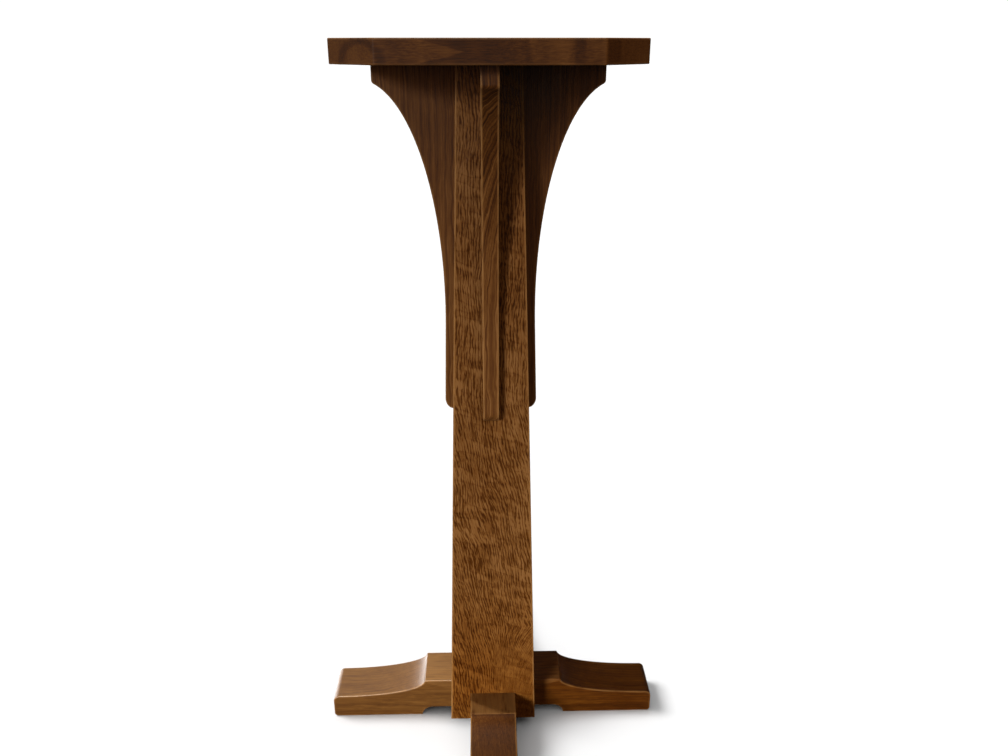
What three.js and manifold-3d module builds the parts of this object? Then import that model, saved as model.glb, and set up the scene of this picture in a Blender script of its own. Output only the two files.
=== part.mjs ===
// A tall pedestal plant stand of quarter-sawn oak, in millimetres, with +Z up.
// Two sculpted runners cross under a hollow tapered column, and four corbels carry a square top.
// The origin is on the floor at the centre of the stand, and its front faces -Y.

import * as THREE from 'three';
import { mergeVertices } from 'three/addons/utils/BufferGeometryUtils.js';
import Module from 'manifold-3d';

const wasm = await Module();
wasm.setup();

// ---- Driving dimensions ----

const standHeight = 914.4; // floor to the upper face of the top
const edgeEase = 1; // width of the small chamfer on every loose edge
const jointGap = 0.3; // glue or running space between two fitted pieces

const topWidth = 320;
const topThickness = 24.4;
const topCornerClip = 50; // leg of the 45 degree cut at each corner
const topBoardNames = ['front', 'middle', 'back']; // boards edge-glued into the slab
const topEase = 1.5;

const columnTopWidth = 73;
const columnBottomWidth = 118.5;
const columnFloorGap = 16; // floor to the lower end of the column
const columnWall = 19.5;

const footSpan = 458; // length of a runner over both feet
const footWidth = 62;
const footHeight = 59.5; // floor to the flat upper face by the column
const footLedge = 39; // flat stretch from the column's face to the cove
const footEndHeight = 34; // where the cove runs out flat near the end
const footEndRound = 8; // radius over the upper edge of the end
const footToeRound = 5; // radius under the end
const footPadLength = 127; // part that touches the floor at each end
const footReliefHeight = 13; // floor to the raised underside
const footReliefRound = 15; // radius that closes the raised underside

const corbelThickness = 19.5;
const corbelHeight = 416;
const corbelProjection = 94.5; // nose beyond the column's face
const corbelNoseHeight = 21.5; // upright face of the nose
const corbelNoseRound = 3;
const corbelTailProjection = 10.8; // lower straight part beyond the column's face
const corbelTailLength = 112; // from the lower end up to the start of the sweep
const corbelTailRound = 14; // height of the rounded lower end
const corbelSweepStretch = 1.166; // full ellipse against the part that the nose leaves

const dowelDiameter = 8;
const dowelLength = 30;
const dowelEase = 0.8;
const dowelInColumn = 12; // depth of a corbel's dowel in the column's wall
const dowelInTop = 13; // depth of a corbel's dowel in the top
const dowelUpperDrop = 42; // under the top
const dowelLowerDrop = 132; // under the top
const dowelTopInset = 30; // upright dowel's distance behind the nose

const topBlockHeight = 40;
const topScrewMargin = 3; // wood left between a screw's head and the block's side
const topScrewLength = 56;
const screwDiameter = 4.2;
const screwHeadDiameter = 8;
const screwHeadHeight = 3;
const screwPointLength = 6;

const bottomBlockHeight = 50;
const boltDiameter = 10;
const boltLength = 76; // under the head
const boltPointLength = 8;
const boltHeadAcross = 17; // across the flats
const boltHeadHeight = 6.5;
const washerDiameter = 26;
const washerThickness = 2;
const counterboreDepth = 12;

const curveSteps = 8; // half the facets of a cove or a rounded end
const sweepSteps = 20; // facets of a corbel's sweep
const roundSides = 16; // facets round a dowel, screw or bolt

// ---- Sizes that follow ----

const topUnderside = standHeight - topThickness;
const blindDepth = 1; // empty space past the end of a dowel, screw or bolt
const overcut = 5; // how far a cutter runs past what it cuts
const quarterTurn = Math.PI / 2;
const lapHeight = (footReliefHeight + footHeight) / 2; // where the two runners meet
const columnHeight = topUnderside - columnFloorGap;
const boltSeat = footReliefHeight + counterboreDepth;

// Half the column's outer width at a height, from its straight taper.
function columnHalfWidth(z) {
  const share = (topUnderside - z) / columnHeight;
  return THREE.MathUtils.lerp(columnTopWidth, columnBottomWidth, share) / 2;
}

// ---- Materials ----

const oak = new THREE.MeshStandardMaterial({ color: 0x6b4526, roughness: 0.45, metalness: 0 });
const rawOak = new THREE.MeshStandardMaterial({ color: 0xb08a5c, roughness: 0.75, metalness: 0 });
const beech = new THREE.MeshStandardMaterial({ color: 0xcfa878, roughness: 0.7, metalness: 0 });
const steel = new THREE.MeshStandardMaterial({ color: 0x9a9a96, roughness: 0.4, metalness: 1 });

// ---- Solids and geometries ----

// The closed solid of a three.js geometry.
function solidFrom(geometry) {
  const bare = geometry.clone();
  bare.deleteAttribute('normal');
  bare.deleteAttribute('uv');
  const merged = mergeVertices(bare, 1e-3);
  return new wasm.Manifold(new wasm.Mesh({
    numProp: 3,
    vertProperties: merged.attributes.position.array,
    triVerts: new Uint32Array(merged.index.array),
  }));
}

// The flat-shaded three.js geometry of a solid.
function geometryFrom(solid) {
  const mesh = solid.getMesh();
  const indexed = new THREE.BufferGeometry();
  indexed.setAttribute('position', new THREE.BufferAttribute(mesh.vertProperties, 3));
  indexed.setIndex(new THREE.BufferAttribute(mesh.triVerts, 1));
  const faceted = indexed.toNonIndexed();
  faceted.computeVertexNormals();
  return faceted;
}

// The solid of a prism one unit tall, with its ends moved to two exact heights.
function stretchedBetween(geometry, low, high) {
  const { position } = geometry.attributes;
  for (let i = 0; i < position.count; i++) position.setZ(i, position.getZ(i) > 0 ? high : low);
  return solidFrom(geometry);
}

// A box centred on the axis, between two heights.
function boxBetween(width, depth, low, high) {
  return stretchedBetween(new THREE.BoxGeometry(width, depth, 1), low, high);
}

// An outline extruded to a thickness, with both faces' edges chamfered, from a depth of -ease up.
function easedExtrusion(shape, thickness, ease) {
  return new THREE.ExtrudeGeometry(shape, {
    depth: thickness - 2 * ease,
    bevelThickness: ease,
    bevelSize: ease,
    bevelOffset: -ease,
    bevelSegments: 1,
    curveSegments: curveSteps,
  });
}

// A square prism that widens downwards with the column, set in from its faces by a distance.
function columnPrism(inset, low, high) {
  const cornerRadius = (z) => (columnHalfWidth(z) - inset) * Math.SQRT2;
  const geometry = new THREE.CylinderGeometry(cornerRadius(high), cornerRadius(low), 1, 4);
  return stretchedBetween(geometry.rotateY(quarterTurn / 2).rotateX(quarterTurn), low, high);
}

// An upright round peg from its outline of [radius, height] points, closed on the axis.
function turned(profile) {
  const points = profile.map(([radius, height]) => new THREE.Vector2(radius, height));
  return new THREE.LatheGeometry(points, roundSides).rotateX(quarterTurn);
}

// A round cutter between two heights.
function boreBetween(radius, low, high) {
  return solidFrom(turned([[0, low], [radius, low], [radius, high], [0, high]]));
}

// ---- Dowels ----

// A plain dowel with chamfered ends, centred on the origin along Z.
function dowelGeometry() {
  const radius = dowelDiameter / 2;
  const end = dowelLength / 2;
  return turned([
    [0, -end], [radius - dowelEase, -end], [radius, dowelEase - end],
    [radius, end - dowelEase], [radius - dowelEase, end], [0, end],
  ]);
}

// The three dowels of the front corbel, each with its centre and whether it stands upright.
function corbelDowels() {
  const upperHeight = topUnderside - dowelUpperDrop;
  const lowerHeight = topUnderside - dowelLowerDrop;
  const intoCorbel = dowelLength / 2 - dowelInColumn;
  const noseReach = columnTopWidth / 2 + corbelProjection;
  return [
    { name: 'upper', upright: false, y: -columnHalfWidth(upperHeight) - intoCorbel, z: upperHeight },
    { name: 'lower', upright: false, y: -columnHalfWidth(lowerHeight) - intoCorbel, z: lowerHeight },
    { name: 'top', upright: true, y: dowelTopInset - noseReach, z: topUnderside + dowelInTop - dowelLength / 2 },
  ];
}

// The bore for one dowel of the front corbel.
function dowelBore({ upright, y, z }) {
  const reach = dowelLength / 2 + blindDepth;
  const bore = boreBetween(dowelDiameter / 2 + jointGap, -reach, reach);
  const turn = upright ? 0 : THREE.MathUtils.radToDeg(quarterTurn);
  return bore.rotate([turn, 0, 0]).translate([0, y, z]);
}

// One cutter from several.
function together(cutters) {
  return cutters.reduce((sum, cutter) => sum.add(cutter));
}

// ---- Top ----

// Plan of the top: a square with its corners cut at 45 degrees.
function topOutline() {
  const half = topWidth / 2;
  const cut = half - topCornerClip;
  const shape = new THREE.Shape();
  shape.moveTo(-cut, -half);
  shape.lineTo(cut, -half).lineTo(half, -cut).lineTo(half, cut);
  shape.lineTo(cut, half).lineTo(-cut, half).lineTo(-half, cut);
  shape.lineTo(-half, -cut).closePath();
  return shape;
}

// The whole slab, drilled from below for the corbels' dowels and the top block's screws.
function topSlab() {
  const blank = easedExtrusion(topOutline(), topThickness, topEase);
  const slab = solidFrom(blank.translate(0, 0, topUnderside + topEase));
  const bore = together(corbelDowels().filter((dowel) => dowel.upright).map(dowelBore));
  const bores = [0, 90, 180, 270].map((degrees) => bore.rotate([0, 0, degrees]));
  return slab.subtract(together(bores)).subtract(topScrewBores());
}

// The slab cut along X into its boards, front first.
function topBoardGeometries() {
  const boardWidth = topWidth / topBoardNames.length;
  let rest = topSlab();
  return topBoardNames.map((_, i) => {
    const joint = (i + 1) * boardWidth - topWidth / 2;
    const [behind, board] = rest.splitByPlane([0, 1, 0], joint);
    rest = behind;
    return geometryFrom(board);
  });
}

// ---- Column ----

// The column's outer solid, with its four long edges chamfered.
function columnEnvelope() {
  const square = columnPrism(0, columnFloorGap, topUnderside);
  const cornerCut = new THREE.CylinderGeometry(columnTopWidth - edgeEase, columnBottomWidth - edgeEase, 1, 4);
  return square.intersect(stretchedBetween(cornerCut.rotateX(quarterTurn), columnFloorGap, topUnderside));
}

// The front quarter of the stand between the two diagonal mitre planes.
function mitreWedge() {
  const apex = jointGap * Math.SQRT1_2;
  const reach = columnBottomWidth;
  const shape = new THREE.Shape();
  shape.moveTo(0, -apex).lineTo(-reach, -reach - apex).lineTo(reach, -reach - apex).closePath();
  const wedge = new THREE.ExtrudeGeometry(shape, { depth: standHeight, bevelEnabled: false });
  return solidFrom(wedge);
}

// The front one of four mitred boards, notched to straddle a runner and drilled for its corbel.
function columnBoardGeometry() {
  const cavity = columnPrism(columnWall, columnFloorGap - overcut, topUnderside + overcut);
  const notch = boxBetween(footWidth + 2 * jointGap, 2 * columnBottomWidth, 0, footHeight + jointGap);
  const bores = together(corbelDowels().filter((dowel) => !dowel.upright).map(dowelBore));
  const board = columnEnvelope().subtract(cavity).intersect(mitreWedge());
  return geometryFrom(board.subtract(notch).subtract(bores));
}

// ---- Blocks inside the column ----

// The two screws that hold the top block, on its diagonal.
function topScrewPlaces() {
  const blockHalf = columnTopWidth / 2 - columnWall - jointGap;
  const away = blockHalf - topScrewMargin - screwHeadDiameter / 2;
  return [{ name: 'left', x: -away, y: -away }, { name: 'right', x: away, y: away }];
}

// A countersunk wood screw, head down, with the face of its head at height 0.
function topScrewGeometry() {
  const radius = screwDiameter / 2;
  return turned([
    [0, 0], [screwHeadDiameter / 2, 0], [radius, screwHeadHeight],
    [radius, topScrewLength - screwPointLength], [radius / 4, topScrewLength], [0, topScrewLength],
  ]);
}

// The clearance that the screws need, open downwards.
function topScrewBores() {
  const head = screwHeadDiameter / 2 + jointGap;
  const shank = screwDiameter / 2 + jointGap;
  const start = topUnderside - topBlockHeight;
  const cutter = solidFrom(turned([
    [0, start - overcut], [head, start - overcut], [head, start], [shank, start + screwHeadHeight],
    [shank, start + topScrewLength + blindDepth], [0, start + topScrewLength + blindDepth],
  ]));
  return together(topScrewPlaces().map(({ x, y }) => cutter.translate([x, y, 0])));
}

// The block that the top is screwed to and the column is glued round.
function topBlockGeometry() {
  const block = columnPrism(columnWall + jointGap, topUnderside - topBlockHeight, topUnderside);
  return geometryFrom(block.subtract(topScrewBores()));
}

// The block that fills the column above the crossed runners, drilled for the bolt.
function bottomBlockGeometry() {
  const block = columnPrism(columnWall + jointGap, footHeight, footHeight + bottomBlockHeight);
  return geometryFrom(block.subtract(boltBore()));
}

// ---- Base ----

// Side view of a runner along X: pads, raised underside, rounded ends and coved upper face.
function runnerOutline() {
  const end = footSpan / 2;
  const shoulder = columnHalfWidth(footHeight) + footLedge;
  const coveEnd = end - footEndRound;
  const padStart = end - footPadLength;
  const padEnd = end - footToeRound;
  const coveWidth = coveEnd - shoulder;
  const coveDepth = footHeight - footEndHeight;
  const reliefCentre = footReliefHeight - footReliefRound;
  const reliefAngle = Math.asin(-reliefCentre / footReliefRound);
  const reliefEnd = padStart - footReliefRound * Math.cos(reliefAngle);
  const shape = new THREE.Shape();
  shape.moveTo(padStart, 0).lineTo(padEnd, 0);
  shape.absarc(padEnd, footToeRound, footToeRound, -quarterTurn, 0);
  shape.absarc(coveEnd, footEndHeight - footEndRound, footEndRound, 0, quarterTurn);
  shape.absellipse(coveEnd, footHeight, coveWidth, coveDepth, -quarterTurn, -Math.PI, true);
  shape.lineTo(-shoulder, footHeight);
  shape.absellipse(-coveEnd, footHeight, coveWidth, coveDepth, 0, -quarterTurn, true);
  shape.absarc(-coveEnd, footEndHeight - footEndRound, footEndRound, quarterTurn, Math.PI);
  shape.absarc(-padEnd, footToeRound, footToeRound, Math.PI, 3 * quarterTurn);
  shape.lineTo(-padStart, 0);
  shape.absarc(-reliefEnd, reliefCentre, footReliefRound, Math.PI - reliefAngle, quarterTurn, true);
  shape.absarc(reliefEnd, reliefCentre, footReliefRound, quarterTurn, reliefAngle, true);
  return shape;
}

// A whole runner along X, before its lap is cut.
function runnerBlank() {
  const blank = easedExtrusion(runnerOutline(), footWidth, edgeEase);
  return solidFrom(blank.translate(0, 0, edgeEase - footWidth / 2).rotateX(quarterTurn));
}

// Clearance for the bolt's head, washer and shank, open downwards.
function boltBore() {
  const wide = washerDiameter / 2 + 2 * jointGap;
  const narrow = boltDiameter / 2 + jointGap;
  const end = boltSeat - washerThickness + boltLength + blindDepth;
  return solidFrom(turned([
    [0, -overcut], [wide, -overcut], [wide, boltSeat], [narrow, boltSeat], [narrow, end], [0, end],
  ]));
}

// The left-right runner, which keeps its lower half at the crossing.
function lowerRunnerGeometry() {
  const lap = boxBetween(footWidth + 2 * jointGap, 2 * footWidth, lapHeight, footHeight + overcut);
  return geometryFrom(runnerBlank().subtract(lap).subtract(boltBore()));
}

// The front-back runner, which keeps its upper half at the crossing.
function upperRunnerGeometry() {
  const lap = boxBetween(footWidth + 2 * jointGap, 2 * footWidth, -overcut, lapHeight + jointGap);
  return geometryFrom(runnerBlank().subtract(lap).subtract(boltBore()));
}

// The hexagon-headed lag bolt, head down, with the underside of its head at height 0.
function boltGeometry() {
  const radius = boltDiameter / 2;
  const shank = turned([
    [0, -boltHeadHeight / 2], [radius, -boltHeadHeight / 2], [radius, boltLength - boltPointLength],
    [radius / 4, boltLength], [0, boltLength],
  ]);
  const headRadius = boltHeadAcross / Math.sqrt(3);
  const head = new THREE.CylinderGeometry(headRadius, headRadius, boltHeadHeight, 6);
  head.rotateX(quarterTurn).translate(0, 0, -boltHeadHeight / 2);
  return geometryFrom(solidFrom(shank).add(solidFrom(head)));
}

// The flat washer, with its upper face at height 0.
function washerGeometry() {
  const outer = boreBetween(washerDiameter / 2, -washerThickness, 0);
  const inner = boreBetween(boltDiameter / 2 + jointGap, -washerThickness - overcut, overcut);
  return geometryFrom(outer.subtract(inner));
}

// ---- Corbels ----

// Side view of the front corbel, with X as the distance from the stand's axis.
// The sweep is a quarter ellipse laid off the column's sloping face and cut short by the nose.
function corbelOutline() {
  const nose = columnTopWidth / 2 + corbelProjection;
  const noseEnd = topUnderside - corbelNoseHeight;
  const lowerEnd = topUnderside - corbelHeight;
  const sweepStart = lowerEnd + corbelTailLength;
  const sweepUsed = corbelProjection - corbelTailProjection;
  const sweepWidth = sweepUsed * corbelSweepStretch;
  const usedAngle = Math.acos(1 - sweepUsed / sweepWidth);
  const sweepHeight = (noseEnd - sweepStart) / Math.sin(usedAngle);
  const onSweep = (angle) => {
    const z = sweepStart + sweepHeight * Math.sin(angle);
    const beyond = corbelTailProjection + sweepWidth * (1 - Math.cos(angle));
    return [columnHalfWidth(z) + beyond, z];
  };
  const onTail = (angle) => {
    const z = lowerEnd + corbelTailRound * (1 - Math.sin(angle));
    return [columnHalfWidth(z) + corbelTailProjection * Math.cos(angle), z];
  };
  const shape = new THREE.Shape();
  shape.moveTo(0, topUnderside + overcut).lineTo(0, lowerEnd);
  for (let i = curveSteps; i >= 0; i--) shape.lineTo(...onTail(quarterTurn * i / curveSteps));
  const lastAngle = usedAngle - corbelNoseRound / sweepWidth;
  for (let i = 0; i <= sweepSteps; i++) shape.lineTo(...onSweep(lastAngle * i / sweepSteps));
  shape.quadraticCurveTo(nose, noseEnd, nose, noseEnd + corbelNoseRound);
  shape.lineTo(nose, topUnderside + overcut).closePath();
  return shape;
}

// The front corbel: eased on its loose edges, square where it meets the column and the top.
function corbelGeometry() {
  const blank = easedExtrusion(corbelOutline(), corbelThickness, edgeEase);
  blank.translate(0, 0, edgeEase - corbelThickness / 2).rotateX(quarterTurn).rotateZ(-quarterTurn);
  const column = columnPrism(-jointGap, 0, topUnderside + 2 * overcut);
  const above = boxBetween(2 * topWidth, 2 * topWidth, topUnderside, topUnderside + 2 * overcut);
  const corbel = solidFrom(blank).subtract(column).subtract(above);
  return geometryFrom(corbel.subtract(together(corbelDowels().map(dowelBore))));
}

// ---- Assembly ----

const stand = new THREE.Group();

// One named piece of the stand.
function addPiece(parent, name, geometry, material) {
  const mesh = new THREE.Mesh(geometry, material);
  mesh.name = name;
  parent.add(mesh);
  return mesh;
}

const baseGroup = new THREE.Group();
addPiece(baseGroup, 'foot_runner_x', lowerRunnerGeometry(), oak);
addPiece(baseGroup, 'foot_runner_y', upperRunnerGeometry(), oak).rotation.z = quarterTurn;
addPiece(baseGroup, 'base_washer', washerGeometry(), steel).position.z = boltSeat;
addPiece(baseGroup, 'base_bolt', boltGeometry(), steel).position.z = boltSeat - washerThickness;
stand.add(baseGroup);

const topGroup = new THREE.Group();
topBoardGeometries().forEach((geometry, i) => {
  addPiece(topGroup, `top_board_${topBoardNames[i]}`, geometry, oak);
});
addPiece(topGroup, 'top_block', topBlockGeometry(), rawOak);
for (const { name, x, y } of topScrewPlaces()) {
  const screw = addPiece(topGroup, `top_screw_${name}`, topScrewGeometry(), steel);
  screw.position.set(x, y, topUnderside - topBlockHeight);
}
stand.add(topGroup);

addPiece(stand, 'bottom_block', bottomBlockGeometry(), rawOak);

['front', 'right', 'back', 'left'].forEach((side, i) => {
  const quarter = new THREE.Group();
  quarter.rotation.z = i * quarterTurn;
  addPiece(quarter, `column_board_${side}`, columnBoardGeometry(), oak);
  addPiece(quarter, `corbel_${side}`, corbelGeometry(), oak);
  for (const { name, upright, y, z } of corbelDowels()) {
    const dowel = addPiece(quarter, `corbel_${side}_dowel_${name}`, dowelGeometry(), beech);
    dowel.rotation.x = upright ? 0 : quarterTurn;
    dowel.position.set(0, y, z);
  }
  stand.add(quarter);
});

export default stand;
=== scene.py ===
import math

import bpy
import numpy as np
from mathutils import Matrix, Vector


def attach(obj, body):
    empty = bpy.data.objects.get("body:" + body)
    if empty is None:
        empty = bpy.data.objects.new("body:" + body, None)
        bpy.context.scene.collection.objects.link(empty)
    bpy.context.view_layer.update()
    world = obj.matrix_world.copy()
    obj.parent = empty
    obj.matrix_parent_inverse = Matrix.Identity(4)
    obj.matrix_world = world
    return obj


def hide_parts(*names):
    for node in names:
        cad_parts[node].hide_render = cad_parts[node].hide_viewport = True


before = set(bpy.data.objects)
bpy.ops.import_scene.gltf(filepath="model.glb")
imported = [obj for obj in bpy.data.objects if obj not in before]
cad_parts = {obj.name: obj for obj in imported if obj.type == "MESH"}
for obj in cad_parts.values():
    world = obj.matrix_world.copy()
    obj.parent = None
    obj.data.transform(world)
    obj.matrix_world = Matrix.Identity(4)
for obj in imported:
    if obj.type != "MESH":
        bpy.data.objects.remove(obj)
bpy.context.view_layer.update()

scene = bpy.context.scene
scene.view_settings.view_transform = "Standard"

# ---- Camera ----
# The camera stands a metre in front of the stand's axis, level with its top, and looks down by
# 21 degrees. Its place and its turns were worked out from the photograph.
PHOTO_WIDTH = 1008                            # pixels
FOCAL_PIXELS = 862                            # focal length in the photograph's pixels
SENSOR_WIDTH = 36                             # millimetres
CAMERA_PLACE = (-0.0097, -1.0242, 0.9105)     # metres
CAMERA_TILT = 68.71                           # degrees up from looking straight down
CAMERA_PAN = -1.493                           # degrees about the upright axis

lens = bpy.data.cameras.new("camera")
lens.sensor_width = SENSOR_WIDTH
lens.lens = SENSOR_WIDTH * FOCAL_PIXELS / PHOTO_WIDTH
camera = bpy.data.objects.new("camera", lens)
camera.location = CAMERA_PLACE
camera.rotation_euler = (math.radians(CAMERA_TILT), 0, math.radians(CAMERA_PAN))
scene.collection.objects.link(camera)
scene.camera = camera

# ---- Floor and studio light ----
# A plain pale floor in a dim white surround. Seven lamps light the wood, the strongest from high
# behind the left side and from low in front of it, and two fall on the floor alone.


class Signal:
    """One output of a shader node. Arithmetic on it adds Math nodes to its tree."""

    def __init__(self, tree, socket=None):
        self.tree = tree
        self.socket = socket

    def node(self, kind, settings=None, inputs=None, output=0):
        """Any node: its type, then its settings, then the values or links of its sockets."""
        made = self.tree.nodes.new("ShaderNode" + kind)
        for name, value in (settings or {}).items():
            if name == "stops":
                ramp = made.color_ramp
                while len(ramp.elements) < len(value):
                    ramp.elements.new(0.5)
                for stop, (position, rgb) in zip(ramp.elements, value):
                    stop.position = position
                    stop.color = (*rgb, 1)
            else:
                setattr(made, name, value)
        for name, value in (inputs or {}).items():
            if isinstance(value, Signal):
                self.tree.links.new(value.socket, made.inputs[name])
            else:
                made.inputs[name].default_value = value
        return Signal(self.tree, made.outputs[output] if made.outputs else None)

    def maths(self, operation, first, second):
        """A Math node on two signals or numbers."""
        return self.node("Math", {"operation": operation}, {0: first, 1: second})

    def __add__(self, other):
        return self.maths("ADD", self, other)

    __radd__ = __add__

    def __sub__(self, other):
        return self.maths("SUBTRACT", self, other)

    def __rsub__(self, other):
        return self.maths("SUBTRACT", other, self)

    def __mul__(self, other):
        return self.maths("MULTIPLY", self, other)

    __rmul__ = __mul__

    def __pow__(self, other):
        return self.maths("POWER", self, other)

    def __abs__(self):
        return self.maths("ABSOLUTE", self, 0.0)

    def step(self, low, high):
        """0 below low, 1 above high and a smooth rise between."""
        inputs = {"Value": self, "From Min": low, "From Max": high}
        return self.node("MapRange", {"interpolation_type": "SMOOTHSTEP"}, inputs)

    def strip(self, rise, full, fade, end):
        """0 outside a strip and 1 inside it: a smooth rise, then a smooth fall."""
        return self.step(rise, full) - self.step(fade, end)

    def mix(self, first, second, blend="MIX"):
        """The first colour where this signal is 0, the second where it is 1."""
        settings = {"data_type": "RGBA", "blend_type": blend}
        return self.node("Mix", settings, {0: self, 6: first, 7: second}, output=2)

    def part(self, axis):
        """The X, Y or Z of this vector."""
        return self.node("SeparateXYZ", inputs={"Vector": self}, output=axis)

    def along(self, way):
        """How far this vector reaches along a direction."""
        return self.node("VectorMath", {"operation": "DOT_PRODUCT"}, {0: self, 1: way}, "Value")


def blank_tree(owner):
    """The emptied node tree of a material or a world."""
    owner.use_nodes = True
    owner.node_tree.nodes.clear()
    return Signal(owner.node_tree)


FLOOR_HALF = 60                               # metres from the axis to each side
FLOOR_SEEN = (0.80, 0.80, 0.80, 1)            # colour to the camera
FLOOR_BOUNCED = (0.035, 0.033, 0.031, 1)      # colour to all other light: it throws little back

floor_mesh = bpy.data.meshes.new("floor")
floor_mesh.from_pydata(
    [(-FLOOR_HALF, -FLOOR_HALF, 0), (FLOOR_HALF, -FLOOR_HALF, 0),
     (FLOOR_HALF, FLOOR_HALF, 0), (-FLOOR_HALF, FLOOR_HALF, 0)],
    [], [(0, 1, 2, 3)],
)
floor = bpy.data.objects.new("floor", floor_mesh)
scene.collection.objects.link(floor)

floor_finish = bpy.data.materials.new("pale floor")
pale = blank_tree(floor_finish)
seen = pale.node("LightPath", output="Is Camera Ray")
paint = pale.node("BsdfPrincipled", inputs={
    "Base Color": seen.mix(FLOOR_BOUNCED, FLOOR_SEEN), "Roughness": 0.9, "Specular IOR Level": 0.0})
pale.node("OutputMaterial", inputs={"Surface": paint})
floor_mesh.materials.append(floor_finish)

SURROUND_DIM = 0.05                           # strength to all but the camera, which sees it white
SURROUND_COLOUR = (1.0, 0.99, 0.98, 1)
WINDOWS = [                                   # way to each, cosine at its rim, strength in gloss
    ((-0.3, -1, 0.15), 0.55, 0.45),
    ((-1, 0.1, 0.1), 0.60, 0.30),
]

surround = bpy.data.worlds.new("surround")
air = blank_tree(surround)
to_camera = air.node("LightPath", output="Is Camera Ray")
to_gloss = air.node("LightPath", output="Is Glossy Ray")
heading = air.node("TexCoord", output="Generated")
windows = 0.0
for way, rim, glow in WINDOWS:
    windows = heading.along(Vector(way).normalized()).step(rim, 1.0) * glow + windows
backdrop = air.node("Background", inputs={
    "Color": SURROUND_COLOUR, "Strength": SURROUND_DIM + to_gloss * windows + to_camera})
air.node("OutputWorld", inputs={"Surface": backdrop})
scene.world = surround


def join_group(group, piece, state="INCLUDE"):
    """Adds a piece to a group that a lamp works on, or with EXCLUDE one that it passes over."""
    group.objects.link(piece)
    group.collection_objects[-1].light_linking.link_state = state


def light_group(name, pieces=(), state="INCLUDE"):
    """A group of pieces for a lamp. One that only excludes pieces stands for all the others."""
    group = bpy.data.collections.new(name)
    for piece in pieces:
        join_group(group, piece, state)
    return group


def lamp(name, kind, towards, strength, colour, lit):
    """A lamp of some kind: the way its light travels, its strength and colour, what it lights."""
    data = bpy.data.lights.new(name, kind)
    data.energy = strength
    data.color = colour
    made = bpy.data.objects.new(name, data)
    made.rotation_euler = Vector(towards).to_track_quat("-Z", "Y").to_euler()
    scene.collection.objects.link(made)
    made.light_linking.receiver_collection = lit
    return made


def far_lamp(name, towards, width, strength, colour, lit, glossy=True):
    """A lamp so far off that its light is parallel, and so many degrees wide to the eye."""
    made = lamp(name, "SUN", towards, strength, colour, lit)
    made.data.angle = math.radians(width)
    made.visible_glossy = glossy
    return made


floor_only = light_group("floor only", [floor])
all_but_floor = light_group("all but the floor", [floor], "EXCLUDE")
lit_from_high = light_group("all but the floor and the front runner", [floor], "EXCLUDE")
front_only = light_group("front runner")
waxed = light_group("waxed runner")
feet = light_group("runners and bottom block", [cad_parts["bottom_block"]])

# From high behind the left side. The runner that comes to the front gets a weaker lamp of its own.
HIGH_COLOUR = (0.98, 0.99, 0.90)
far_lamp("high lamp", towards=(0.175, -0.11, -1), width=2.5, strength=4.1,
         colour=HIGH_COLOUR, lit=lit_from_high)
far_lamp("front runner lamp", towards=(0.30, -0.21, -1), width=2.5, strength=1.8,
         colour=HIGH_COLOUR, lit=front_only)

# From low in front of the left side: a soft beam on the column's foot that fades towards the top.
low_from = Vector((-2.90, -3.72, 1.46))
low_at = Vector((0, 0, -0.28))
low_lamp = lamp("low lamp", "SPOT", towards=low_at - low_from, strength=1695,
                colour=(1.0, 0.98, 0.93), lit=all_but_floor)
low_lamp.location = low_from
low_lamp.data.shadow_soft_size = 0.85
low_lamp.data.spot_size = math.radians(26)
low_lamp.data.spot_blend = 1

# Weak and wide, without gloss: a warm fill from the right, a glow from the left, one from behind.
far_lamp("fill lamp", towards=(-0.65, 0.7, -0.60), width=60, strength=0.60,
         colour=(1.0, 0.66, 0.36), lit=all_but_floor, glossy=False)
far_lamp("glow lamp", towards=(0.62, 0.78, 0.02), width=30, strength=1.1,
         colour=(0.95, 0.72, 0.80), lit=all_but_floor, glossy=False)
far_lamp("back lamp", towards=(-0.55, -1, 0.02), width=20, strength=1.5,
         colour=(1.0, 0.94, 0.86), lit=all_but_floor, glossy=False)

# A panel low behind the left side, which shows only as the sheen on the waxed runner.
sheen_at = Vector((-0.15, 0, 0.05))
sheen_way = Vector((-0.58, 0.80, -0.10))
sheen_lamp = lamp("sheen lamp", "AREA", towards=-sheen_way, strength=8.2,
                  colour=(1.0, 0.97, 0.95), lit=waxed)
sheen_lamp.light_linking.blocker_collection = all_but_floor
sheen_lamp.location = sheen_at + sheen_way * 1.2
sheen_lamp.data.shape = "RECTANGLE"
sheen_lamp.data.size = 0.45
sheen_lamp.data.size_y = 1.1
sheen_lamp.visible_diffuse = False
sheen_lamp.visible_camera = False

# On the floor alone: a dome that keeps it pale, and a lamp that only the feet shade.
far_lamp("floor dome", towards=(0.32, -0.06, -1), width=125, strength=1.95,
         colour=(1, 1, 1), lit=floor_only)
floor_lamp = far_lamp("floor lamp", towards=(0.90, -0.25, -1), width=28, strength=3.2,
                      colour=(1, 1, 1), lit=floor_only)
floor_lamp.light_linking.blocker_collection = feet

# ---- Foot runners ----
# Two oak runners cross under the column in a half lap. Each is sawn from a thick board with its
# grain along it, then coved on top, relieved underneath and rounded at both ends.

ARRIS = 1.1              # radius of a loose arris, in millimetres, as all lengths from here on
ARRIS_SOFT = 1.4         # width of the strip beside it in which the wear and painted highlight fade out
FITTED = 0.04            # share of the arris that an edge against a neighbour gets
CORNER_POINTS = 5        # points that a rounded corner of an outline becomes
LEAST_ROUND = 0.12       # length that a rounded corner keeps on each side, however far it moves in
STRAIGHT = 0.02          # sine of a bend, under which two lines count as one
SHARP = 38               # degrees between two faces, from which the edge stays sharp


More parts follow.
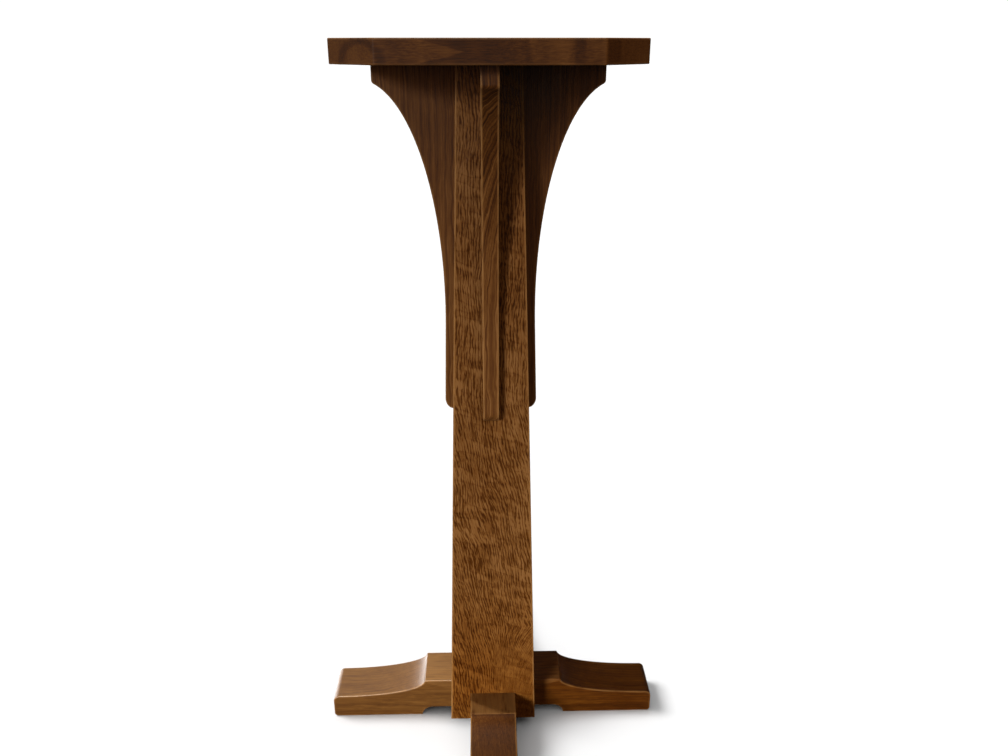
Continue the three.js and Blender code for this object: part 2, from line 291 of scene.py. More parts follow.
def ellipse(centre, radii, start, end, steps):
    """Points on an ellipse: its centre plus each radius times the cosine or sine of an angle."""
    turn = np.radians(np.linspace(start, end, steps + 1))
    return np.stack([centre[0] + radii[0] * np.cos(turn), centre[1] + radii[1] * np.sin(turn)], 1)


def inset_outline(outline, rounds, inset):
    """An outline moved inwards, with its corners rounded.

    Each corner goes to where the two lines beside it meet once they are moved inwards by their
    own distances. A rounded corner then becomes five points of a quadratic curve that starts and
    ends its round's length away from the corner, less the inset.
    """
    edge = np.roll(outline, -1, 0) - outline
    edge /= np.linalg.norm(edge, axis=1)[:, None]
    after = np.stack([edge[:, 1], -edge[:, 0]], 1)
    before, came = np.roll(after, 1, 0), np.roll(edge, 1, 0)
    inset_before = np.roll(inset, 1)
    cross = before[:, 0] * after[:, 1] - before[:, 1] * after[:, 0]
    bent = np.abs(cross) > STRAIGHT
    safe = np.where(bent, cross, 1)
    x = (-inset_before * after[:, 1] + inset * before[:, 1]) / safe
    y = (-inset * before[:, 0] + inset_before * after[:, 0]) / safe
    straight = -(inset_before + inset)[:, None] / 2 * (before + after) / 2
    corner = outline + np.where(bent[:, None], np.stack([x, y], 1), straight)
    length = np.maximum(rounds - np.maximum(inset, inset_before), LEAST_ROUND)
    length = np.where(rounds > 0, length, 0)
    times = np.where(rounds > 0, CORNER_POINTS, 1)
    pick = np.repeat(np.arange(len(outline)), times)
    first = np.repeat(np.cumsum(times) - times, times)
    t = (np.arange(len(pick)) - first) / (CORNER_POINTS - 1)
    t = np.where(times[pick] > 1, t, 0.5)[:, None]
    start = corner[pick] - came[pick] * length[pick, None]
    end = corner[pick] + edge[pick] * length[pick, None]
    return (1 - t) ** 2 * start + 2 * t * (1 - t) * corner[pick] + t ** 2 * end


def tube_faces(rings, count):
    """Quads between neighbouring rings of points, and a flat face over each end."""
    ring, spot = np.meshgrid(np.arange(rings - 1), np.arange(count), indexing="ij")
    ahead = (spot + 1) % count
    quads = np.stack([ring * count + spot, ring * count + ahead,
                      (ring + 1) * count + ahead, (ring + 1) * count + spot], -1)
    last = (rings - 1) * count
    ends = [list(range(count))[::-1], list(range(last, last + count))]
    return quads.reshape(-1, 4).tolist() + ends


def stacked(rings, height):
    """The points of flat rings, each at its own height."""
    return np.concatenate([np.column_stack([ring, np.full(len(ring), z)])
                           for ring, z in zip(rings, height)])


def slab(outline, rounds, loose, low, high, corner_wear_and_highlight=0.6):
    """Points, faces and wear of a board: an outline carried through its thickness.

    Every ring is the outline at one height, moved inwards by a share of the arris. The share
    follows a quarter circle, 1 - cos against 1 - sin, over each rim and is 0 between the rims.
    The wear and painted highlight is 1 over the rims of loose edges, and corner_wear_and_highlight
    down each rounded corner.
    """
    turn = np.radians(np.linspace(0, 90, 5))
    inset = np.concatenate([[ARRIS + ARRIS_SOFT], ARRIS * (1 - np.sin(turn)), [0]])
    height = np.concatenate([[0], ARRIS * (1 - np.cos(turn)), [ARRIS + ARRIS_SOFT]])
    worn_and_lit = np.array([0, 1, 1, 1, 1, 1, 0])
    inset = np.concatenate([inset, inset[::-1]])
    height = np.concatenate([low + height, high - height[::-1]])
    worn_and_lit = np.concatenate([worn_and_lit, worn_and_lit[::-1]])
    share = np.where(loose, 1, FITTED)
    rings = [inset_outline(outline, rounds, share * distance) for distance in inset]
    times = np.where(rounds > 0, CORNER_POINTS, 1)
    rounded = np.repeat(rounds > 0, times)
    open_edge = np.repeat(loose & np.roll(loose, 1), times)
    wear = np.concatenate([np.maximum(w * open_edge, corner_wear_and_highlight * rounded) for w in worn_and_lit])
    return stacked(rings, height), tube_faces(len(rings), len(rings[0])), wear


def placed(points, along, up):
    """Points from a board's own directions to the stand's.

    Each is the sum of its distances along, up and through the board times those directions.
    """
    return points @ np.array([along, up, np.cross(along, up)], float)


def joined(shells):
    """One mesh of several shells, each given as points in millimetres and faces."""
    starts = np.cumsum([0] + [len(points) for points, _ in shells])
    points = np.concatenate([points for points, _ in shells]) / 1000
    faces = [[start + i for i in face] for start, (_, many) in zip(starts, shells) for face in many]
    mesh = bpy.data.meshes.new("shells")
    mesh.from_pydata(points.tolist(), [], faces)
    return mesh


def carve(mesh, cutters):
    """The mesh less some closed shells, by an exact boolean."""
    body = bpy.data.objects.new("body", mesh)
    tool = bpy.data.objects.new("tool", joined(cutters))
    for made in (body, tool):
        scene.collection.objects.link(made)
    cut = body.modifiers.new("cut", "BOOLEAN")
    cut.solver = "EXACT"
    cut.object = tool
    bpy.context.view_layer.update()
    graph = bpy.context.evaluated_depsgraph_get()
    carved = bpy.data.meshes.new_from_object(body.evaluated_get(graph))
    for made in (body, tool):
        bpy.data.objects.remove(made)
    return carved


def bore(profile, sides=24):
    """A round cutter about the upright axis, from a profile of radius and height.

    Every ring is its radius times the cosine and the sine of even turns.
    """
    radius, height = np.array(profile, float).T
    turn = np.linspace(0, 2 * np.pi, sides, endpoint=False)
    rings = np.stack([np.outer(radius, np.cos(turn)), np.outer(radius, np.sin(turn))], -1)
    return stacked(rings, height), tube_faces(len(radius), sides)


def block(low, high):
    """A cutter with square corners between two corner points."""
    (x0, y0, z0), (x1, y1, z1) = low, high
    plan = [(x0, y0), (x1, y0), (x1, y1), (x0, y1)]
    return stacked([plan, plan], [z0, z1]), tube_faces(2, 4)


def wooden(name, points, faces, wear, finish, nodes, cutters=()):
    """A piece of the stand from its points in millimetres, which stands for its CAD nodes."""
    mesh = joined([(points, faces)])
    mesh.attributes.new("wear", "FLOAT", "POINT").data.foreach_set("value", wear.astype(np.float32))
    if cutters:
        mesh = carve(mesh, cutters)
    mesh.name = name
    mesh.shade_smooth()
    mesh.set_sharp_from_angle(angle=math.radians(SHARP))
    mesh.materials.clear()
    mesh.materials.append(finish)
    piece = bpy.data.objects.new(name, mesh)
    scene.collection.objects.link(piece)
    even = piece.modifiers.new("even normals", "WEIGHTED_NORMAL")
    even.keep_sharp = True
    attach(piece, "root")
    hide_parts(*nodes)
    return piece


FUMED = [                                     # brown stain: place on its scale, colour
    (0.0, (0.028, 0.0080, 0.0013)), (0.30, (0.068, 0.0215, 0.0032)),
    (0.55, (0.122, 0.0450, 0.0082)), (0.80, (0.184, 0.0760, 0.0175)),
    (1.0, (0.250, 0.1180, 0.0360)),
]
GOLDEN = [(level, (red, green * 1.05, blue * 0.85)) for level, (red, green, blue) in FUMED]
END_GRAIN = (0.45, 0.40, 0.36, 1)             # what a sawn end multiplies the colour by
RUBBED_AND_LIT = (0.320, 0.160, 0.050, 1)             # colour of a worn arris, and of a painted highlight along it
WAX_ROUGHNESS = 0.40


def oak(name, grain, radial, offset, tone=0.66, stain=FUMED, lustre=(0.16, 0.45), wax=0.0,
        pore=1.0, vessel=(2.0, 1.5, 19), comb=None, ring=0.45, ring_width=2.9, flecks=1.0,
        slant=0.0, mottle=1.0, blotch=(24, 20, 60), figure=(30, 210), lean=None, fan=None,
        rub_and_highlight=0.65, shade_and_darkening=None, broad=None, drawn=None):
    """Quarter-sawn oak as a solid, cut by a piece's faces.

    It is worked out in the tree's own directions: through the rays, across the rings and along
    the grain, in millimetres. Every part of it is noise stretched along one of them. Growth
    rings are thin across the rings, pores are long along the grain, and rays are sheets that
    face through. A slow drift bends them all, which draws the arches on a flat-sawn edge.

    grain, radial, offset  the ways along the grain and across the rings, the place in the tree
    tone, stain            how pale the wood is, and the scale of colours from dark to pale
    lustre, wax            gloss and roughness of the bare wood, and how much wax lies over it
    pore, vessel, comb     strength and size of the pores, distance of their rows if they have any
    ring, ring_width       strength and width of the growth rings
    flecks, slant          strength and slope of the ray flecks
    mottle, blotch         strength and size of the soft clouds
    figure                 depth and length of the drift
    lean                   a height, and the slope by which the grain leans below it
    fan                    a place across, a height, and the slope by which it fans out past both
    rub_and_highlight      how far an arris turns to the pale rubbed colour, which is both wear
                       and a painted highlight
    shade_and_darkening    a direction, the two distances in metres along it between which the
                       colour darkens, by how much, and what that multiplies the colour by:
                       painted shade on the corbels' tops and on the x runner's far end, and a
                       darker, more golden foot on the column
    broad                  the way the broad faces look: fewer clouds and more pores there
    drawn                  a function of x, z and cloud: how much the other faces darken where
    """
    finish = bpy.data.materials.new(name)
    wood = blank_tree(finish)
    grain, radial = Vector(grain).normalized(), Vector(radial)
    radial = (radial - grain * radial.dot(grain)).normalized()
    turned = Matrix((radial.cross(grain), radial, grain)).to_euler()
    point = wood.node("TexCoord", output="Object")
    facing = wood.node("TexCoord", output="Normal")
    tree = wood.node("Mapping", inputs={
        "Vector": point, "Location": offset, "Rotation": turned, "Scale": (1000, 1000, 1000)})

    def pattern(vector, sizes, detail=1.0, rough=0.5):
        """Noise about 0 whose lumps have these sizes through, across and along."""
        scaled = wood.node("VectorMath", {"operation": "DIVIDE"}, {0: vector, 1: sizes})
        return wood.node("TexNoise", inputs={
            "Vector": scaled, "Scale": 1.0, "Detail": detail, "Roughness": rough}) - 0.5

    def shifted(vector, across, along=0.0):
        """The vector moved across the rings, and along the grain, by signals."""
        by = wood.node("CombineXYZ", inputs={"Y": across, "Z": along})
        return wood.node("VectorMath", {"operation": "ADD"}, {0: vector, 1: by})

    # The drift and the ripple of the grain, which bend what follows.
    bend, reach = figure
    drift = pattern(tree, (70, 75, reach)) * bend
    ripple = pattern(tree, (9, 16, 34)) * 4.0
    if lean:
        start, slope = lean
        drift = drift + wood.maths("MINIMUM", tree.part("Z") - start, 0.0) * slope
    if fan:
        side, start, slope = fan
        aside = wood.maths("MAXIMUM", tree.part("Y") - side, 0.0)
        drift = drift - wood.maths("MINIMUM", tree.part("Z") - start, 0.0) * aside * slope
    flow = shifted(tree, drift + ripple)

    # Growth rings, pores, ray flecks with their dark rims, fibres and clouds.
    rings = pattern(flow, (300, ring_width, 700), 1.5, 0.6)
    vessels = pattern(flow, vessel, 2.0, 0.65)
    sheets = pattern(shifted(tree, 0.0, ripple * 2.0 + tree.part("Y") * slant), (4, 60, 15))
    rays = sheets.step(0.03, 0.14) * flecks
    rims = sheets.strip(-0.06, 0.0, 0.0, 0.06) * flecks
    fibres = pattern(flow, (0.6, 0.6, 26), 2.0, 0.6)
    cloud = pattern(tree, blotch, 1.5)
    tide = pattern(tree, (120, 90, 260))
    if comb:
        teeth = flow.part("Y") + pattern(tree, (3, 6, 12)) * 5.0
        rows = wood.maths("SINE", teeth * (2 * math.pi / comb), 0.0)
        vessels = vessels * 0.75 + rows * 0.065
    pores = (vessels + rings * 0.30 - rays * 0.04).step(-0.05, 0.07)
    flat = 0.0
    if broad:
        flat = abs(facing.along(broad)).step(0.6, 0.9)

    # How pale the wood is, and its colour from that.
    level = (tone + rings * ring + fibres * 0.55 + cloud * (0.55 * mottle * (1 - flat * 0.75))
             + tide * 0.4 - (pores - 0.4) * (0.44 * pore * (1 + flat * 0.8))
             + rays * 0.04 - rims * 0.12)
    # Painted shade, and on the column a darker foot: the colour darkens along a direction and takes a
    # tint.
    if shade_and_darkening:
        direction, start, end, loss, tint = shade_and_darkening
        far = point.along(direction).step(start, end)
        level = level - far * loss
        if wax:
            wax = (1 - far) * wax     # the wax thins out there too
    if drawn:
        level = level - drawn(point.part("X") * 1000, point.part("Z") * 1000, cloud) * (1 - flat)
    colour = wood.node("ValToRGB", {"stops": stain}, {"Fac": level})
    if shade_and_darkening and tint:
        colour = far.mix(colour, tint, "MULTIPLY")
    ends = abs(facing.along(grain)).step(0.80, 0.97)
    colour = (ends * 0.7).mix(colour, END_GRAIN, "MULTIPLY")
    # The loose arrises turn pale: partly wear, partly a painted highlight.
    worn_and_lit = wood.node("Attribute", {"attribute_name": "wear"}, output="Fac")
    worn_and_lit = worn_and_lit * pattern(tree, (7, 7, 30), 2.0).step(-0.30, 0.06)
    colour = (worn_and_lit * rub_and_highlight).mix(colour, RUBBED_AND_LIT)

    # Sheen and relief: pores are pits, rays and fibres stand up.
    gleam, polish = lustre
    shine = polish - pores * (0.12 * pore) + cloud * 0.12 + ends * 0.15 - worn_and_lit * 0.05
    relief = rings * 0.25 + fibres * 0.35 - pores * (0.5 * pore) + rays * 0.2
    bump = wood.node("Bump", inputs={"Strength": 0.5, "Distance": 0.0002, "Height": relief})
    shader = wood.node("BsdfPrincipled", inputs={
        "Base Color": colour, "Roughness": shine, "Normal": bump, "Specular IOR Level": gleam,
        "Coat Weight": wax, "Coat Roughness": WAX_ROUGHNESS})
    wood.node("OutputMaterial", inputs={"Surface": shader})
    return finish


COLUMN_TOP = 73          # widths of the column at its two ends
COLUMN_BOTTOM = 118.5
COLUMN_LOW = 16          # heights of its two ends
COLUMN_HIGH = 890


def column_half(z):
    """Half the column's width, which grows evenly from its top to its bottom."""
    taper = (COLUMN_BOTTOM - COLUMN_TOP) * (COLUMN_HIGH - z) / (COLUMN_HIGH - COLUMN_LOW)
    return (COLUMN_TOP + taper) / 2


RUNNER_END = 229         # from the axis to an end
RUNNER_WIDTH = 62
RUNNER_TOP = 59.5
RUNNER_LEDGE = 39        # flat top between the column and the cove
SHOULDER_ROUND = 1.6     # round where the cove starts
COVE_FOOT = 34           # height at which the cove ends
END_ROUND = 8            # rounds at the top and the bottom of an end
TOE_ROUND = 5
PAD_START = 102          # from the axis to where a runner meets the floor
RELIEF_TOP = 13          # height of the hollow underneath, and the radius of its shoulder
RELIEF_ROUND = 15
LAP = 36.25              # height of the half lap
LAP_GAP = 0.3
LAP_REACH = 50           # far enough for a cutter to pass both sides of a runner
ABOVE_RUNNER = 70        # and its top
BELOW_RUNNER = -10       # and its underside
BOLT_WAY = [(13.6, -5), (13.6, 25), (5.3, 25), (5.3, 100)]     # radius and height

shoulder = column_half(RUNNER_TOP) + RUNNER_LEDGE
cove_end = RUNNER_END - END_ROUND
relief_low = RELIEF_TOP - RELIEF_ROUND
relief_angle = math.degrees(math.asin(-relief_low / RELIEF_ROUND))
relief_end = PAD_START - RELIEF_ROUND * math.cos(math.radians(relief_angle))
right_half = np.concatenate([
    ellipse((relief_end, relief_low), (RELIEF_ROUND, RELIEF_ROUND), 90, relief_angle, 10),
    ellipse((RUNNER_END - TOE_ROUND, TOE_ROUND), (TOE_ROUND, TOE_ROUND), -90, 0, 8),
    ellipse((cove_end, COVE_FOOT - END_ROUND), (END_ROUND, END_ROUND), 0, 90, 10),
    ellipse((cove_end, RUNNER_TOP), (cove_end - shoulder, RUNNER_TOP - COVE_FOOT),
            -90, -180, 28)[1:],
])
runner_outline = np.concatenate([right_half, right_half[::-1] * (-1, 1)])
runner_rounds = np.zeros(len(runner_outline))
runner_rounds[[len(right_half) - 1, len(right_half)]] = SHOULDER_ROUND
runner_loose = np.ones(len(runner_outline), bool)
lap_half = RUNNER_WIDTH / 2 + LAP_GAP
bolt_way = bore(BOLT_WAY)
runners = {     # the way along it, its lap's cutter, its place in the tree, its look
    "foot_runner_x": (
        (1, 0, 0), block((-lap_half, -LAP_REACH, LAP), (lap_half, LAP_REACH, ABOVE_RUNNER)),
        (31, 12, 140),
        {"tone": 0.60, "stain": GOLDEN, "lustre": (0.22, 0.45), "wax": 1.0, "pore": 0.36,
         "ring": 0.8, "flecks": 0.1, "mottle": 0.4, "figure": (12, 210), "rub_and_highlight": 0.45,
         # Painted shade: beyond the column the far end darkens and turns orange, and its wax thins.
         "shade_and_darkening": ((1, 0, 0), 0.02, 0.09, 0.21, (1.0, 0.82, 0.45, 1))}),
    "foot_runner_y": (
        (0, 1, 0),
        block((-LAP_REACH, -lap_half, BELOW_RUNNER), (LAP_REACH, lap_half, LAP + LAP_GAP)),
        (101, -38, 140),
        {"tone": 0.21, "lustre": (0.10, 0.5), "pore": 0.30, "flecks": 0.2, "mottle": 0.6,
         "figure": (16, 210), "rub_and_highlight": 0.5}),
}
for node, (along, lap_cutter, offset, look) in runners.items():
    points, faces, wear = slab(
        runner_outline, runner_rounds, runner_loose, -RUNNER_WIDTH / 2, RUNNER_WIDTH / 2)
    radial = np.cross(along, (0, 0, 1)) + np.array([0, 0, 0.5])     # sideways and a little up
    finish = oak(f"{node} oak", along, radial, offset, vessel=(2.0, 1.1, 46), **look)
    runner = wooden(f"{node}_oak", placed(points, along, (0, 0, 1)), faces, wear, finish, [node],
                    [lap_cutter, bolt_way])
    join_group(feet, runner)
    if node == "foot_runner_x":
        join_group(waxed, runner)
    else:
        join_group(front_only, runner)
        join_group(lit_from_high, runner, "EXCLUDE")

# ---- Column boards ----
# Four oak boards, mitred at the corners into a hollow tapered column. Each straddles a runner
# with a notch in its lower end, and its grain runs up it.

COLUMN_WALL = 19.5
NOTCH_HALF = 31.3
NOTCH_TOP = 59.8
NOTCH_REACH = 90         # far enough for the cutter to pass both faces of a board
FITTED_END = 0.05        # share of the arris that the end under the top gets


def column_section(half, inner):
    """Points round a front board's cut end: the rounded outer arrises, then the inner corners."""
    left = ellipse((ARRIS - half, ARRIS - half), (ARRIS, ARRIS), 225, 270, 3)
    soft = half - ARRIS - ARRIS_SOFT
    face = np.array([[-soft, -half], [soft, -half]])
    inside = np.array([[inner, -inner], [-inner, -inner]])
    return np.concatenate([left, face, left[::-1] * (-1, 1), inside])


def column_board():
    """Points, faces and wear of the front board: its section carried up the column.

    The outer half-width is the column's at each height, less a quarter circle over each end.
    The wear and painted highlight is 1 down both outer arrises and round the lower end.
    """
    turn = np.radians(np.linspace(0, 90, 4))
    inset = np.concatenate([ARRIS * (1 - np.sin(turn)), [0, 0],
                            FITTED_END * ARRIS * np.sin(turn)[1:]])
    height = np.concatenate([COLUMN_LOW + ARRIS * (1 - np.cos(turn)),
                             [COLUMN_LOW + ARRIS + ARRIS_SOFT, COLUMN_HIGH - ARRIS],
                             COLUMN_HIGH - ARRIS * np.cos(turn)[1:]])
    rings = [column_section(column_half(z) - d, column_half(z) - COLUMN_WALL)
             for z, d in zip(height, inset)]
    side = np.array([1, 1, 1, 1, 0, 0, 1, 1, 1, 1, 0, 0])
    outer = np.array([1] * 10 + [0, 0])
    low = np.array([1] * 4 + [0] * 5)
    wear = np.maximum(side[None, :], low[:, None] * outer[None, :]).ravel()
    return stacked(rings, height), tube_faces(len(rings), len(rings[0])), wear


def quarter(points, turns):
    """Points turned by quarter turns about the stand's axis, seen from above."""
    x, y, z = points.T
    for _ in range(turns):
        x, y = -y, x
    return np.column_stack([x, y, z])


def facing_out(turns):
    """The way out from the axis after quarter turns, and the way to its left."""
    return quarter(np.array([[0.0, -1, 0], [1.0, 0, 0]]), turns)


def cad_shell(node):
    """A CAD node's closed shell as a cutter: its corners merged, in millimetres."""
    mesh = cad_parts[node].data
    points = np.empty(len(mesh.vertices) * 3, np.float32)
    mesh.vertices.foreach_get("co", points)
    corners = np.empty(len(mesh.loops), np.int32)
    mesh.loops.foreach_get("vertex_index", corners)
    points = np.round(points.reshape(-1, 3) * 1000, 3)
    merged, index = np.unique(points, axis=0, return_inverse=True)
    return merged.astype(float), index.reshape(-1)[corners].reshape(-1, 3).tolist()


SIDES = ["front", "right", "back", "left"]
COLUMN_LOOK = {
    "tone": 0.68, "pore": 1.4, "vessel": (1.6, 1.1, 15), "comb": 3.6, "flecks": 0.9,
    "slant": 0.35, "mottle": 0.75, "figure": (22, 130), "rub_and_highlight": 1.0,
    # The column darkens and turns more golden towards its foot.
    "shade_and_darkening": ((0, 0, -1), -0.27, -0.05, 0.07, (1.0, 0.86, 0.52, 1)),
}
COLUMN_GRAIN = {"lean": (500, -0.08)}
FRONT_COLUMN_GRAIN = {"lean": (500, 0.17), "fan": (62, 170, 0.018)}

board_points, board_faces, board_wear_and_highlight = column_board()
notch_points, notch_faces = block((-NOTCH_HALF, -NOTCH_REACH, 0), (NOTCH_HALF, NOTCH_REACH, NOTCH_TOP))
for turns, side in enumerate(SIDES):
    out, across = facing_out(turns)
    grain_look = FRONT_COLUMN_GRAIN if side == "front" else COLUMN_GRAIN
    finish = oak(f"column {side} oak", (0, 0, 1), across,
                 (17 + 40 * turns, 60 - 33 * turns, 205 * turns), **COLUMN_LOOK, **grain_look)
    cutters = [(quarter(notch_points, turns), notch_faces)]
    cutters += [cad_shell(f"corbel_{side}_dowel_{which}") for which in ("upper", "lower")]
    wooden(f"column_{side}_oak", quarter(board_points, turns), board_faces, board_wear_and_highlight, finish,
           [f"column_board_{side}"], cutters)

# ---- Corbels ----
# Four oak brackets, dowelled to the column under the top. Each is sawn from one board with
# upright grain and swept from its square nose down to a narrow tail with a rounded end.

CORBEL_HALF = 9.75       # half its thickness
CORBEL_LOW = 474
NOSE_REACH = 131         # from the axis to the nose
NOSE_LOW = 868.5         # height of the nose's lower corner, and the length of its round
NOSE_ROUND = 3
TAIL_REACH = 10.8        # how far the tail stands out from the column
TAIL_ROUND = 14          # height over which its end rounds off
SWEEP_LOW = 586          # height at which the sweep starts
SWEEP_HIGH = 285.4       # radii of the sweep's ellipse, up the column and out from it
SWEEP_OUT = 97.6
SWEEP_ANGLE = 80         # degrees of it that the sweep runs through
CORBEL_LOOK = {
    "lustre": (0.3, 0.45), "pore": 0.3, "vessel": (1.2, 0.9, 60), "ring_width": 1.3,
    "flecks": 0.2, "mottle": 0.5, "figure": (14, 300),
}
# Both looks darken the corbel towards its top: painted shade under the top board.
FRONT_CORBEL = {"tone": 0.68, "ring": 2.2, "rub_and_highlight": 1.0,
                "shade_and_darkening": ((0, 0, 1), 0.67, 0.79, 0.235, None)}
OTHER_CORBEL = {"tone": 0.585, "ring": 1.1, "rub_and_highlight": 0.5,
                "shade_and_darkening": ((0, 0, 1), 0.62, 0.84, 0.125, None)}


def column_reach(z, beyond):
    """Points at heights z, a distance beyond the column's sloping face."""
    return np.column_stack([column_half(z) + beyond, z])


tail_turn = np.radians(np.linspace(90, 0, 13))
tail = column_reach(CORBEL_LOW + TAIL_ROUND * (1 - np.sin(tail_turn)),
                    TAIL_REACH * np.cos(tail_turn))
sweep_turn = np.radians(np.linspace(0, SWEEP_ANGLE, 44))
sweep = column_reach(SWEEP_LOW + SWEEP_HIGH * np.sin(sweep_turn),
                     TAIL_REACH + SWEEP_OUT * (1 - np.cos(sweep_turn)))
nose_low = np.array([NOSE_REACH, NOSE_LOW])
nose_turn = np.linspace(0.25, 1, 4)[:, None]
nose = ((1 - nose_turn) ** 2 * sweep[-1] + 2 * nose_turn * (1 - nose_turn) * nose_low
        + nose_turn ** 2 * (nose_low + (0, NOSE_ROUND)))
back = column_reach(np.array([COLUMN_HIGH]), 0)
corbel_outline = np.concatenate([tail, sweep, nose, [[NOSE_REACH, COLUMN_HIGH]], back])
corbel_rounds = np.zeros(len(corbel_outline))
corbel_loose = np.ones(len(corbel_outline), bool)
corbel_loose[-2:] = False
for turns, side in enumerate(SIDES):
    out, across = facing_out(turns)
    points, faces, wear = slab(corbel_outline, corbel_rounds, corbel_loose,
                               -CORBEL_HALF, CORBEL_HALF)
    side_look = FRONT_CORBEL if side == "front" else OTHER_CORBEL
    finish = oak(f"corbel {side} oak", (0, 0, 1), out * 0.8 - across * 0.6,
                 (90 - 31 * turns, 22 * turns, 150 + 97 * turns), **CORBEL_LOOK, **side_look)
    cutters = [cad_shell(f"corbel_{side}_dowel_{which}") for which in ("upper", "lower", "top")]
    wooden(f"corbel_{side}_oak", placed(points, out, (0, 0, 1)), faces, wear, finish,
           [f"corbel_{side}"], cutters)

# ---- Top boards ----
# Three oak boards glued edge to edge, with the corners of the square cut off at 45 degrees and
# a small round over every loose arris. The grain runs from left to right.

TOP_HALF = 160
TOP_CLIP = 50            # length that each cut corner takes off a side
TOP_LOW = 890
TOP_HIGH = 914.4
TOP_ROUND = 1.5          # round of its upright corners
JOINT = TOP_HALF / 3     # from the axis to a glue line
TOP_LOOK = {
    "tone": 0.515, "lustre": (0.28, 0.60), "pore": 0.38, "vessel": (1.0, 1.6, 60),
    "flecks": 0.3, "blotch": (60, 40, 19), "figure": (34, 120), "rub_and_highlight": 0.25, "broad": (0, 0, 1),
}


def edge_figure_and_lit_clip(x, z, cloud):
    """How much the front edge darkens where it cuts through the rings, from left to right.

    A valley is a strip of x. The arch is a soft ring about a point low in the edge. The patch is
    a strip of x whose left side runs to the left with the distance from mid-height, so that pale
    wood reaches into it like a tongue. Two bands are strips. The right clipped end is painted
    paler: painted light.
    """
    valley = (x + cloud * 20).strip(-102, -93, -88, -79)
    u, v = (x + 124.5) * (1 / 20.5), (z - 892) * (1 / 20.0)
    radius = (u * u + v * v) ** 0.5 + cloud * 0.35
    arch = radius.strip(0.70, 0.92, 1.02, 1.30)
    tongue = -21 - abs(z - 902) * 4.5 + cloud * 16
    patch = (x - tongue).step(-3, 3) * (1 - (x + cloud * 12).step(35, 41))
    band = (x + cloud * 14).strip(77, 81, 86, 91)
    end_band = (x + cloud * 14).strip(108, 114, 121, 127)
    # The last term paints the right clipped end paler: painted light.
    return (arch * 0.25 + patch * 0.25 + band * 0.20 + end_band * 0.20 + valley * 0.12
            - x.step(104, 112) * 0.18)


clip = TOP_HALF - TOP_CLIP
front_plan = np.array([(-TOP_HALF, -JOINT), (-TOP_HALF, -clip), (-clip, -TOP_HALF),
                       (clip, -TOP_HALF), (TOP_HALF, -clip), (TOP_HALF, -JOINT)], float)
middle_plan = np.array([(-TOP_HALF, -JOINT), (TOP_HALF, -JOINT), (TOP_HALF, JOINT),
                        (-TOP_HALF, JOINT)], float)
outer_corners, outer_edges = [0, 1, 1, 1, 1, 0], [1, 1, 1, 1, 1, 0]
top_boards = {     # its plan, which corners are rounded, which edges are loose, what is let in
    "front": (front_plan, outer_corners, outer_edges, ["corbel_front_dowel_top"]),
    "middle": (middle_plan, [0, 0, 0, 0], [0, 1, 0, 1],
               ["corbel_left_dowel_top", "corbel_right_dowel_top", "top_screw_left",
                "top_screw_right"]),
    "back": (front_plan * -1, outer_corners, outer_edges, ["corbel_back_dowel_top"]),
}
for index, (which, (plan, rounded, loose, let_in)) in enumerate(top_boards.items()):
    points, faces, wear = slab(plan, np.array(rounded) * TOP_ROUND, np.array(loose, bool),
                               TOP_LOW, TOP_HIGH, corner_wear_and_highlight=0)
    finish = oak(f"top {which} oak", (1, 0, 0.02), (0, 1, 0),
                 (55 * index, 37 - 80 * index, 310 * index), **TOP_LOOK,
                 drawn=edge_figure_and_lit_clip if which == "front" else None)
    wooden(f"top_{which}_oak", placed(points, (1, 0, 0), (0, 1, 0)), faces, wear, finish,
           [f"top_board_{which}"], [cad_shell(node) for node in let_in])

# ---- Blocks, dowels, screws and bolt ----
# Sawn oak blocks fill the column's two ends, unstained because they are out of sight. Beech dowels
# hold the corbels. Steel screws hold the top, and one steel bolt and washer hold the runners.

RAW = [(0.0, (0.150, 0.082, 0.036)), (0.30, (0.260, 0.160, 0.080)), (0.55, (0.370, 0.245, 0.130)),
       (0.80, (0.470, 0.325, 0.185)), (1.0, (0.560, 0.405, 0.245))]
BEECH = [(0.0, (0.300, 0.150, 0.075)), (0.30, (0.430, 0.260, 0.150)),
         (0.60, (0.530, 0.350, 0.215)), (1.0, (0.640, 0.460, 0.310))]
BLOCK_LOOK = {"tone": 0.6, "stain": RAW, "lustre": (0.2, 0.72), "pore": 0.5}
DOWEL_LOOK = {"tone": 0.6, "stain": BEECH, "lustre": (0.2, 0.6), "pore": 0.25, "mottle": 0.4,
              "flecks": 0.3}
STEEL = (0.30, 0.29, 0.28, 1)
STEEL_BRIGHT = (0.44, 0.43, 0.42, 1)
RUST = (0.105, 0.042, 0.018, 1)


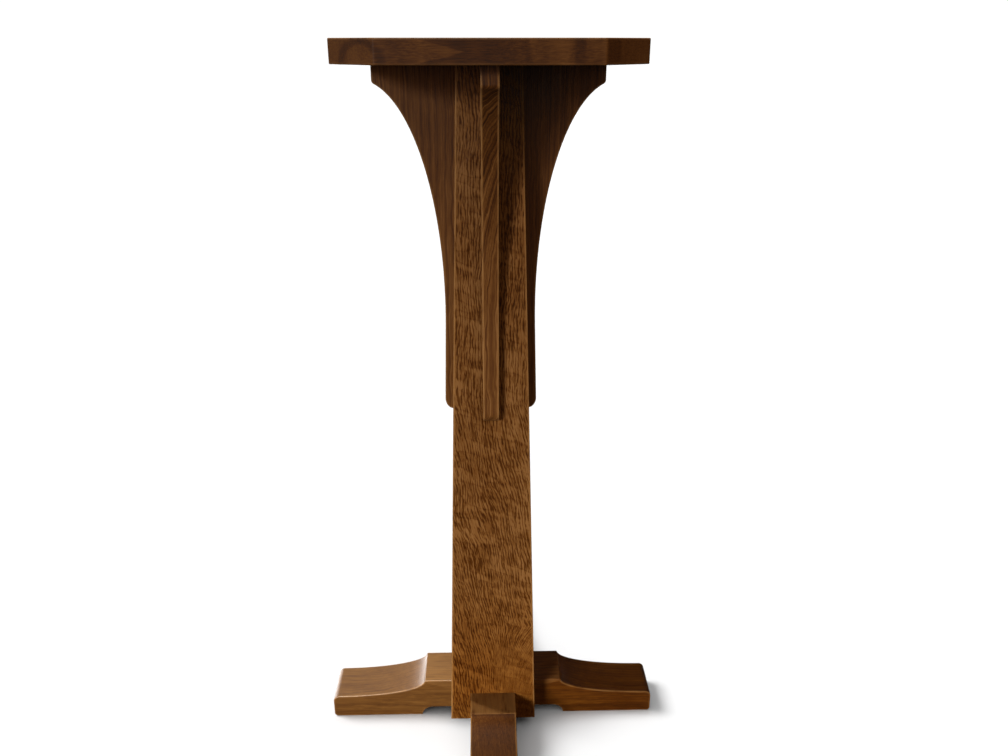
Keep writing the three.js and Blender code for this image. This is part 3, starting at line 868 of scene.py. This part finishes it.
def steel(name, axis):
    """Turned steel: rings of tool marks about an upright axis, dull patches and specks of rust.

    The rings are a wave of the distance from the axis. Patches and specks are noise steps.
    """
    finish = bpy.data.materials.new(name)
    metal = blank_tree(finish)
    point = metal.node("Mapping", {"vector_type": "POINT"}, {
        "Vector": metal.node("TexCoord", output="Object"),
        "Location": [-1000 * metres for metres in axis], "Scale": (1000, 1000, 1000)})
    marks = metal.node("TexWave", {"wave_type": "RINGS", "rings_direction": "Z"}, {
        "Vector": point, "Scale": 0.55, "Distortion": 0.6, "Detail": 1.0}, "Fac")
    patches = metal.node("TexNoise", inputs={"Vector": point, "Scale": 0.16, "Detail": 3.0})
    specks = metal.node("TexNoise", inputs={"Vector": point, "Scale": 0.9, "Detail": 2.0})
    specks = specks.step(0.64, 0.72)
    colour = patches.step(0.35, 0.65).mix(STEEL, STEEL_BRIGHT)
    colour = (specks * 0.7).mix(colour, RUST)
    bump = metal.node("Bump", inputs={
        "Strength": 0.35, "Distance": 0.00005, "Height": marks + specks * 0.4})
    shader = metal.node("BsdfPrincipled", inputs={
        "Base Color": colour, "Metallic": 1 - specks * 0.8,
        "Roughness": 0.30 + patches * 0.22 + specks * 0.3, "Normal": bump})
    metal.node("OutputMaterial", inputs={"Surface": shader})
    return finish


def finished(node, finish):
    """The CAD node as it stands, with a finish in each of its material slots."""
    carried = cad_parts[node]
    if not carried.material_slots:
        carried.data.materials.append(None)
    for holder in carried.material_slots:
        holder.link = "OBJECT"
        holder.material = finish


for index, node in enumerate(["bottom_block", "top_block"]):
    finished(node, oak(f"{node} raw oak", (1, 0.02, 0), (0, 0.6, 0.8), (44 * index, 71, 19),
                       **BLOCK_LOOK))
for turns, side in enumerate(SIDES):
    out, across = facing_out(turns)
    for which, grain in (("upper", out), ("lower", out), ("top", (0, 0, 1))):
        finished(f"corbel_{side}_dowel_{which}",
                 oak(f"{side} {which} dowel beech", grain, across, (13 * turns, 8, 5), **DOWEL_LOOK))
for node in ("base_bolt", "base_washer", "top_screw_left", "top_screw_right"):
    corners = [Vector(corner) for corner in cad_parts[node].bound_box]
    middle = sum(corners, Vector()) / len(corners)
    finished(node, steel(f"{node} steel", (middle.x, middle.y, 0)))
